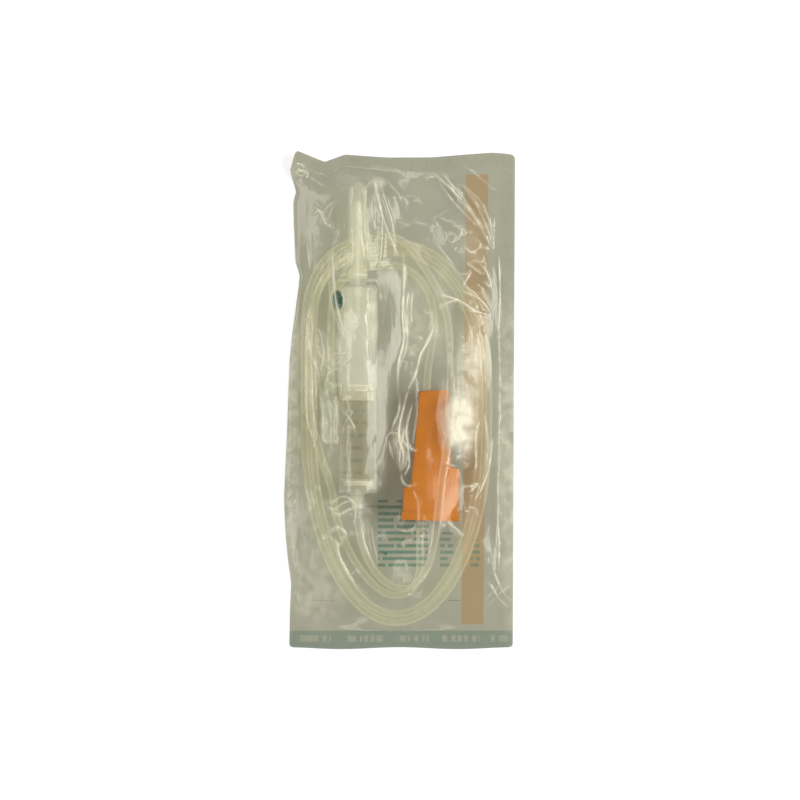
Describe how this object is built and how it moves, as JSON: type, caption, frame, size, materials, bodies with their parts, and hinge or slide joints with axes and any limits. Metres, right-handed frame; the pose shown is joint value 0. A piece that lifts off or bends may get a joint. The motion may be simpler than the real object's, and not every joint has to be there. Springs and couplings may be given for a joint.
{
  "type": "iv infusion set",
  "caption": "Sealed flat peel pouch with a coiled gravity infusion set: capped spike, vented drip chamber, tube, sliding roller clamp and capped connector.",
  "frame": {"origin": "middle of the pouch's footprint, at the underside of the paper web it lies on", "axes": "+Z out of the clear film, +Y towards the end with the spike, +X to the right as seen from above with +Y up"},
  "size_m": [0.1224, 0.2638, 0.0251],
  "materials": {
    "coated_paper": "matt coated paper web, printed",
    "clear_film": "glossy clear film",
    "rigid_clear": "clear moulded plastic",
    "cap_clear": "clear moulded plastic",
    "soft_clear": "soft clear plastic",
    "connector_clear": "clear moulded plastic",
    "tube_clear": "soft clear tube, faintly yellow",
    "membrane": "white filter membrane",
    "teal_plastic": "dark teal moulded plastic",
    "orange_plastic": "satin orange moulded plastic",
    "white_plastic": "satin white moulded plastic"
  },
  "bodies": {
    "pack": {"pouch_back_web": "coated_paper", "pouch_front_film": "clear_film", "spike_housing": "rigid_clear", "spike_cap": "cap_clear", "drop_tube": "rigid_clear", "vent_filter": "membrane", "vent_cap": "teal_plastic", "chamber_sleeve": "soft_clear", "chamber_base": "rigid_clear", "fluid_filter": "membrane", "filter_ring": "white_plastic", "tube_coil": "tube_clear", "tube_from_chamber": "tube_clear", "tube_to_clamp": "tube_clear", "tube_in_clamp": "tube_clear", "tube_to_connector": "tube_clear", "clamp_body": "orange_plastic", "luer_connector": "connector_clear", "luer_collar": "connector_clear", "luer_cap": "cap_clear", "cap_membrane": "membrane"},
    "roller": {"clamp_roller": "white_plastic"}
  },
  "joints": [
    {"name": "roller_slide", "type": "slide", "parent": "pack", "child": "roller", "axis": [-0.1184, 0.993, 0], "range_m": [0, 0.017], "deforming": ["tube_in_clamp"]}
  ]
}
